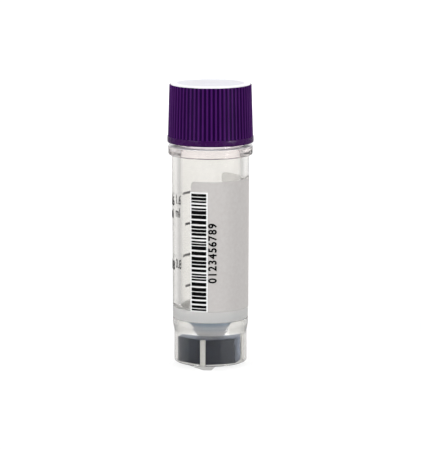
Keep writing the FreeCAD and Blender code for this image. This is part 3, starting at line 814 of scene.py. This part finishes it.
def makePlug():
    half = plug["notchWidth"] / 2
    outline = []
    edge = plug["radius"] - half / math.tan(math.radians(60))  # where the notch meets the two flats
    notch = [(edge, -half), (plug["notchInner"], -half), (plug["notchInner"], half), (edge, half)]
    for k in range(6):
        turn = math.radians(plug["turn"] + 60 * k)
        places = [(plug["radius"], 0)] if k % 2 else notch
        corner = [Matrix.Rotation(turn, 2) @ Vector(place) for place in places]
        if k:
            outline += crownedFlat(outline[-1], corner[0])
        outline += corner
    outline += crownedFlat(outline[-1], outline[0])
    body = prism("hexPlug", outline, plug["low"], plug["high"], plug["bevel"])
    body.data.materials.append(black)
    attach(body, "tube")
    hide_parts("base_insert")


makePlug()

code = {"cells": 14, "cell": 0.36, "fill": 0.97, "share": 0.52, "seed": 11, "turn": 16.5, "thickness": 0.02,
        "shown": 0.4}


def codeTree():
    # square field of small marks: two full edges, two broken edges and a seeded middle; it encodes nothing
    tree, given, out = newTree("codeMarks", [
        ("Cells", "Int"), ("Cell", "Float"), ("Fill", "Float"), ("Share", "Float"), ("Seed", "Int"),
        ("Height", "Float"), ("Thickness", "Float"), ("Turn", "Float"), ("Material", "Material")])
    cells, cell = given.outputs["Cells"], given.outputs["Cell"]
    count = calc(tree, "MULTIPLY", cells, cells)
    index = addNode(tree, "GeometryNodeInputIndex").outputs[0]
    column = calc(tree, "FLOOR", calc(tree, "DIVIDE", index, cells))
    row = calc(tree, "MODULO", index, cells)
    last = calc(tree, "SUBTRACT", cells, 1.0)
    onEdge = calc(tree, "MAXIMUM", calc(tree, "LESS_THAN", column, 0.5), calc(tree, "LESS_THAN", row, 0.5))
    farColumn = calc(tree, "GREATER_THAN", column, calc(tree, "SUBTRACT", last, 0.5))
    farRow = calc(tree, "GREATER_THAN", row, calc(tree, "SUBTRACT", last, 0.5))
    beat = calc(tree, "MODULO", calc(tree, "ADD", row, column), 2.0)
    far = calc(tree, "MAXIMUM", farColumn, farRow)
    dice = addNode(tree, "FunctionNodeRandomValue", data_type="FLOAT")
    feed(tree, dice.inputs["ID"], index)
    feed(tree, dice.inputs["Seed"], given.outputs["Seed"])
    middle = calc(tree, "LESS_THAN", dice.outputs[1], given.outputs["Share"])
    inner = calc(tree, "ADD", calc(tree, "MULTIPLY", far, beat),
                 calc(tree, "MULTIPLY", calc(tree, "SUBTRACT", 1.0, far), middle))
    chosen = calc(tree, "GREATER_THAN", calc(tree, "MAXIMUM", onEdge, inner), 0.5)
    points = addNode(tree, "GeometryNodePoints")
    feed(tree, points.inputs["Count"], count)
    shift = calc(tree, "MULTIPLY", last, -0.5)
    x = calc(tree, "MULTIPLY", calc(tree, "ADD", column, shift), cell)
    y = calc(tree, "MULTIPLY", calc(tree, "ADD", row, shift), cell)
    feed(tree, points.inputs["Position"], vector(tree, x, y, given.outputs["Height"]))
    mark = addNode(tree, "GeometryNodeMeshCube")
    side = calc(tree, "MULTIPLY", cell, given.outputs["Fill"])
    feed(tree, mark.inputs["Size"], vector(tree, side, side, given.outputs["Thickness"]))
    copies = addNode(tree, "GeometryNodeInstanceOnPoints")
    tree.links.new(points.outputs[0], copies.inputs["Points"])
    tree.links.new(chosen, copies.inputs["Selection"])
    tree.links.new(mark.outputs["Mesh"], copies.inputs["Instance"])
    turned = addNode(tree, "GeometryNodeTransform")
    tree.links.new(copies.outputs[0], turned.inputs["Geometry"])
    rotation = addNode(tree, "FunctionNodeEulerToRotation")
    tree.links.new(vector(tree, 0.0, 0.0, given.outputs["Turn"]), rotation.inputs[0])
    tree.links.new(rotation.outputs[0], turned.inputs["Rotation"])
    finishTree(tree, turned.outputs[0], given.outputs["Material"], out)
    return tree


def makeCode():
    body = addObject("codeMarks", bpy.data.meshes.new("codeMarks"))
    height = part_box("code_field")[0].z - code["shown"] * code["thickness"] * mm
    runTree(body, codeTree(), {"Cells": code["cells"], "Cell": code["cell"] * mm, "Fill": code["fill"],
                               "Share": code["share"], "Seed": code["seed"], "Height": height,
                               "Thickness": code["thickness"] * mm, "Turn": math.radians(code["turn"]),
                               "Material": blackInk})
    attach(body, "tube")
    print("code marks:", len(body.data.polygons), "faces")


makeCode()


# printing: sheets of ink that follow the drafted wall, each layer over the one before

ink = {"thickness": 0.04, "gap": 0.01, "cornerSteps": 6, "stepDegrees": 1.5}
patch = {"low": 9.7, "high": 31.1, "turn": -120.0, "span": 189.5, "corner": 0.6}
panel = {"low": 9.7, "high": 29.4, "margin": 0.25}
bars = {"low": 9.95, "high": 29.15, "turn": -118.9, "span": 22.6, "count": 30, "steps": 16}


def onWall(turn, height, lift):
    return polar(wallRadius(height) + lift, math.radians(turn), height)


def layerLift(layer):
    return ink["gap"] + layer * (ink["thickness"] + ink["gap"])


def printedField(name, low, high, turn, span, layer, corner, material):
    # thin closed sheet of ink that follows the drafted wall, with rounded corners
    lift = layerLift(layer)
    reach = math.degrees(corner / wallRadius((low + high) / 2))
    bends = ink["cornerSteps"] if corner else 0
    turns = [turn + reach * (1 - math.cos(math.radians(90 * k / max(1, bends)))) for k in range(bends + 1)]
    middle = max(2, int((span - 2 * reach) / ink["stepDegrees"]))
    turns += [turn + reach + (span - 2 * reach) * k / middle for k in range(1, middle)]
    turns += [2 * turn + span - t for t in reversed(turns[:bends + 1])]
    rings = []
    for t in turns:
        fromEnd = min(t - turn, turn + span - t)
        cut = 0.0
        if corner and fromEnd < reach:
            share = 1 - fromEnd / reach
            cut = corner * (1 - math.sqrt(max(0.0, 1 - share * share)))
        rings.append([onWall(t, height, rise) for height, rise in (
            (low + cut, lift), (high - cut, lift), (high - cut, lift + ink["thickness"]),
            (low + cut, lift + ink["thickness"]))])
    mesh = sweptMesh(name, rings)
    sheet = addObject(name, mesh, material)
    if not layer:  # the side against the wall is printed white
        mesh.materials.append(underprint)
        for face in mesh.polygons:
            if face.normal.xy.dot(face.center.xy) < -0.9 * face.center.xy.length:
                face.material_index = 1
    return sheet


def dressPrint(obj, slot, *nodes):
    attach(obj, "tube")
    if nodes:
        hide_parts(*nodes)


dressPrint(printedField("writingPatch", patch["low"], patch["high"], patch["turn"], patch["span"], 0,
                        patch["corner"], patchInk), "patch_print", "writing_patch")
margin = math.degrees(panel["margin"] / tube["bodyLowRadius"])
dressPrint(printedField("barPanel", panel["low"], panel["high"], bars["turn"] - margin,
                        bars["span"] + 2 * margin, 1, 0, whiteInk), "white_print", "barcode_panel")


def barTree():
    # one bar stacked up the wall, 2 to 4 modules high with gaps of 1 or 2, by a rule that encodes nothing
    tree, given, out = newTree("barStack", [("Bar", "Object"), ("Count", "Int"), ("Module", "Float"),
                                            ("Low", "Float"), ("Draft", "Float"), ("Material", "Material")])
    index = addNode(tree, "GeometryNodeInputIndex").outputs[0]
    square = calc(tree, "MULTIPLY", index, index)
    third = calc(tree, "FLOOR", calc(tree, "DIVIDE", index, 3.0))
    second = calc(tree, "FLOOR", calc(tree, "DIVIDE", index, 2.0))
    bar = calc(tree, "ADD", 2.0, calc(tree, "MODULO", calc(tree, "ADD", square, third), 3.0))
    gap = calc(tree, "ADD", 1.0, calc(tree, "MODULO", calc(tree, "ADD", square, second), 2.0))
    total = addNode(tree, "GeometryNodeAccumulateField", data_type="FLOAT")
    feed(tree, total.inputs[0], calc(tree, "ADD", bar, gap))
    before = total.outputs["Trailing"]
    centre = calc(tree, "ADD", before, calc(tree, "MULTIPLY", bar, 0.5))
    rise = calc(tree, "MULTIPLY", centre, given.outputs["Module"])
    points = addNode(tree, "GeometryNodePoints")
    feed(tree, points.inputs["Count"], given.outputs["Count"])
    place = addNode(tree, "GeometryNodeSetPosition")
    tree.links.new(points.outputs[0], place.inputs["Geometry"])
    height = calc(tree, "ADD", rise, given.outputs["Low"])
    feed(tree, place.inputs["Position"], vector(tree, 0.0, 0.0, height))
    piece = addNode(tree, "GeometryNodeObjectInfo", transform_space="ORIGINAL")
    tree.links.new(given.outputs["Bar"], piece.inputs["Object"])
    wider = calc(tree, "MULTIPLY_ADD", rise, given.outputs["Draft"], 1.0)
    copies = addNode(tree, "GeometryNodeInstanceOnPoints")
    tree.links.new(place.outputs[0], copies.inputs["Points"])
    tree.links.new(piece.outputs["Geometry"], copies.inputs["Instance"])
    feed(tree, copies.inputs["Scale"], vector(tree, wider, wider, bar))
    finishTree(tree, copies.outputs[0], given.outputs["Material"], out)
    return tree


def makeBars():
    sizes = [2 + (n * n + n // 3) % 3 for n in range(bars["count"])]
    gaps = [1 + (n * n + n // 2) % 2 for n in range(bars["count"] - 1)]
    module = (bars["high"] - bars["low"]) / (sum(sizes) + sum(gaps))
    inner = wallRadius(bars["low"]) + layerLift(2)
    outer, half = inner + ink["thickness"], module / 2
    corners = ((inner, -half), (inner, half), (outer, half), (outer, -half))
    angles = [math.radians(bars["turn"] + bars["span"] * k / bars["steps"]) for k in range(bars["steps"] + 1)]
    rings = [[polar(radius, angle, height) for radius, height in corners] for angle in angles]
    oneBar = addObject("oneBar", sweptMesh("oneBar", rings))
    body = addObject("barStack", bpy.data.meshes.new("barStack"))
    draft = wallSlope / wallRadius(bars["low"])
    runTree(body, barTree(), {"Bar": oneBar, "Count": bars["count"], "Module": module * mm,
                              "Low": bars["low"] * mm, "Draft": draft / mm, "Material": blackInk})
    dropObject(oneBar)
    dressPrint(body, "black_print", "barcode_bars")
    print("bars:", len(body.data.polygons), "faces")


makeBars()


lettering = {"capHeight": 0.73, "strip": 0.15, "merge": 1e-4, "mitre": 0.6}


def thicken(shell, amount):
    # strokes grow by the same amount on every side, a little less at sharp corners
    bmesh.ops.recalc_face_normals(shell, faces=shell.faces)
    shift = []
    for v in shell.verts:
        sides = [face.normal for face in v.link_faces if abs(face.normal.z) < 0.5]
        outwards = sum(sides, Vector()).normalized()
        shift.append(outwards * amount / max(lettering["mitre"], min(outwards.dot(side) for side in sides)))
    for v, step in zip(shell.verts, shift):
        v.co += step


def wallText(name, text, low, material, layer=1):
    # flat letters cut into strips, then laid on the wall; upright text runs round it, the rest runs up it
    curve = bpy.data.curves.new(name, "FONT")
    curve.body = text["words"]
    curve.size = text["height"] / lettering["capHeight"]
    curve.extrude = ink["thickness"] / 2
    flat = bpy.data.objects.new(name, curve)
    bpy.context.scene.collection.objects.link(flat)
    mesh = finishedMesh(flat)
    dropObject(flat)
    shell = bmesh.new()
    shell.from_mesh(mesh)
    bmesh.ops.remove_doubles(shell, verts=shell.verts, dist=lettering["merge"])
    thicken(shell, text["bold"])
    middle = (min(v.co.x for v in shell.verts) + max(v.co.x for v in shell.verts)) / 2
    for v in shell.verts:
        v.co.x = (v.co.x - (0 if text["upright"] else middle)) * text["stretch"]
    around = Vector((1, 0, 0)) if text["upright"] else Vector((0, 1, 0))
    values = [v.co.dot(around) for v in shell.verts]
    first, last = min(values), max(values)
    strips = max(2, int((last - first) / lettering["strip"]))
    for k in range(1, strips):
        parts = shell.verts[:] + shell.edges[:] + shell.faces[:]
        place = around * (first + (last - first) * k / strips)
        bmesh.ops.bisect_plane(shell, geom=parts, plane_co=place, plane_no=around)
    lift = layerLift(layer) + ink["thickness"] / 2
    for v in shell.verts:
        along, rise = (v.co.x, v.co.y) if text["upright"] else (-v.co.y, v.co.x)
        turn = text["turn"] + math.degrees(along / wallRadius(low))
        v.co = onWall(turn, low + rise, lift + v.co.z)
    bmesh.ops.recalc_face_normals(shell, faces=shell.faces)
    shell.to_mesh(mesh)
    shell.free()
    smoothByAngle(mesh)
    return addObject(name, mesh, material)


digitLine = {"words": "0123456789", "height": 1.33, "stretch": 0.92, "bold": 0.045, "turn": front + 8.6,
             "upright": False, "low": 14.45, "pitch": 1.0}
volumeMark = {"height": 1.55, "stretch": 1.0, "bold": 0.03, "turn": front - 93.0, "upright": True,
              "lines": [("1.6", 26.65), ("ml", 24.5), ("0.8", 16.0)]}


def makeText():
    places = [digitLine["low"] + (n + 0.5) * digitLine["pitch"] for n in range(len(digitLine["words"]))]
    glyphs = [wallText("digit" + word, dict(digitLine, words=word), low, blackInk)
              for word, low in zip(digitLine["words"], places)]
    dressPrint(gather("digitLine", glyphs, blackInk), "black_print")
    numbers = [wallText("mark" + str(n), dict(volumeMark, words=words), low, blackInk, 0)
               for n, (words, low) in enumerate(volumeMark["lines"])]
    dressPrint(gather("volumeNumbers", numbers, blackInk), "black_print")


makeText()
print("printing ready")


# two solids stay as they are and get a finish

for node, material in (("graduations", markInk), ("code_field", whiteInk)):
    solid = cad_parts[node]
    solid.data.materials.clear()
    solid.data.materials.append(material)


# floor, surroundings, lamps and camera

studio = {  # in metres, apart from glowReach and darkStart, which are millimetres from the axis
    "floorRadius": 2.5, "floorColour": 0.2, "floorShine": 0.1, "worldLevel": 0.5,
    "glowNear": 0.83, "glowFar": 1.0, "glowReach": (60, 400),
    # arcs of the surroundings: cosines from straight behind, and sines towards the right
    "whiteArc": (0.66, 0.94), "roomLevel": 0.6,
    "darkArc": (-0.15, -0.35), "darkEnd": (0.6, 0.5), "darkShare": 0.92, "darkStart": (8, 11),
    "lamps": [
        # name, place, size, watts
        ("keyLamp", (-0.42, -0.36, 0.26), (0.22, 0.34), 2.35),
        ("fillLamp", (0.46, -0.30, 0.20), (0.16, 0.34), 1.9),
        ("topLamp", (0.05, 0.18, 0.62), (0.36, 0.36), 0.6),
        ("backLamp", (0.1, 0.50, 0.075), (0.5, 0.12), 2.5),
    ],
    "unseenLamps": ["backLamp"],
    "aim": (0.0, 0.0, 0.024),
    "cameraPlace": (0.0, -0.430, 0.09675), "cameraAim": (0.0, 0.0, 0.02305), "lens": 213.3,
    "clearBounces": 32, "glossyBounces": 8,  # light has many clear walls to pass
}


def seenDirectly(tree, shine=1.0):
    # 1 for camera and see-through rays, shine for mirror rays, 0 for the rays that light the object
    path = tree.nodes.new("ShaderNodeLightPath")
    seen = calc(tree, "MAXIMUM", path.outputs["Is Camera Ray"], path.outputs["Is Transmission Ray"])
    return calc(tree, "MAXIMUM", seen, calc(tree, "MULTIPLY", path.outputs["Is Glossy Ray"], shine))


def backdrop(tree, cosine, sine, near=1.0):
    # white behind the object, dimmer beside it, dark before it up to the edge of the right lamp;
    # the camera and the rays that light the object see white
    path = tree.nodes.new("ShaderNodeLightPath")
    lit = calc(tree, "GREATER_THAN", path.outputs["Diffuse Depth"], 0.5)
    white = calc(tree, "MAXIMUM", path.outputs["Is Camera Ray"], lit)
    behind = calc(tree, "MAXIMUM", ramp(tree, cosine, *studio["whiteArc"]), white)
    level = calc(tree, "MULTIPLY_ADD", behind, 1 - studio["roomLevel"], studio["roomLevel"])
    before = zone(tree, {"darkArc": cosine, "darkEnd": sine}, studio)
    dark = calc(tree, "MULTIPLY", calc(tree, "MULTIPLY", before, near), calc(tree, "SUBTRACT", 1.0, white))
    return calc(tree, "MULTIPLY", level, calc(tree, "MULTIPLY_ADD", dark, -studio["darkShare"], 1.0))


def makeWorld():
    world = bpy.data.worlds.new("whiteStudio")
    bpy.context.scene.world = world
    world.use_nodes = True
    tree = world.node_tree
    tree.nodes.clear()
    light = tree.nodes.new("ShaderNodeBackground")
    light.inputs["Color"].default_value = (1, 1, 1, 1)
    light.inputs["Strength"].default_value = studio["worldLevel"]
    shown = tree.nodes.new("ShaderNodeBackground")
    shown.inputs["Color"].default_value = (1, 1, 1, 1)
    sine, cosine = coordinates(tree, "Generated")[:2]
    tree.links.new(backdrop(tree, cosine, sine), shown.inputs["Strength"])
    blend = tree.nodes.new("ShaderNodeMixShader")
    out = tree.nodes.new("ShaderNodeOutputWorld")
    tree.links.new(seenDirectly(tree), blend.inputs["Fac"])
    tree.links.new(light.outputs[0], blend.inputs[1])
    tree.links.new(shown.outputs[0], blend.inputs[2])
    tree.links.new(blend.outputs[0], out.inputs["Surface"])


def makeFloor():
    value = studio["floorColour"]
    material, tree, shader = startMaterial("paleFloor", {
        "Roughness": 0.9, "Specular IOR Level": 0.0, "Base Color": (value, value, value, 1),
        "Emission Color": (1, 1, 1, 1)})
    distance = fromAxis(tree)[0]
    gain = studio["glowFar"] - studio["glowNear"]
    away = calc(tree, "MULTIPLY_ADD", ramp(tree, distance, *studio["glowReach"]), gain, studio["glowNear"])
    reach = calc(tree, "MULTIPLY", calc(tree, "MAXIMUM", distance, 1.0), mm)
    sine, cosine = [calc(tree, "DIVIDE", along, reach) for along in coordinates(tree)[:2]]
    around = backdrop(tree, cosine, sine, ramp(tree, distance, *studio["darkStart"]))
    level = calc(tree, "MULTIPLY", away, around)
    glow = calc(tree, "MULTIPLY", seenDirectly(tree, studio["floorShine"]), level)
    tree.links.new(glow, shader.inputs["Emission Strength"])
    mesh = bpy.data.meshes.new("floor")
    side = studio["floorRadius"]
    corners = [(-side, -side, 0), (side, -side, 0), (side, side, 0), (-side, side, 0)]
    mesh.from_pydata(corners, [], [[0, 1, 2, 3]])
    floor = addObject("floor", mesh, material)
    floor.location.z = -0.01 * mm  # just clear of the feet


def aimAt(obj, target):
    obj.rotation_euler = (Vector(target) - obj.location).to_track_quat("-Z", "Y").to_euler()


def makeLamps():
    for name, place, size, watts in studio["lamps"]:
        data = bpy.data.lights.new(name, "AREA")
        data.shape = "RECTANGLE"
        data.size, data.size_y = size
        data.energy = watts
        lamp = bpy.data.objects.new(name, data)
        bpy.context.scene.collection.objects.link(lamp)
        lamp.location = place
        if name in studio["unseenLamps"]:
            lamp.visible_transmission = lamp.visible_glossy = lamp.visible_camera = False
        aimAt(lamp, studio["aim"])


def makeCamera():
    data = bpy.data.cameras.new("camera")
    data.sensor_width = 36
    data.lens = studio["lens"]
    data.clip_start = 0.01
    camera = bpy.data.objects.new("camera", data)
    bpy.context.scene.collection.objects.link(camera)
    camera.location = studio["cameraPlace"]
    aimAt(camera, studio["cameraAim"])
    bpy.context.scene.camera = camera


makeWorld()
makeFloor()
makeLamps()
makeCamera()
bpy.context.scene.view_settings.view_transform = "Standard"
bpy.context.scene.cycles.max_bounces = studio["clearBounces"]
bpy.context.scene.cycles.transmission_bounces = studio["clearBounces"]
bpy.context.scene.cycles.glossy_bounces = studio["glossyBounces"]
print("studio ready")

bpy.context.view_layer.update()
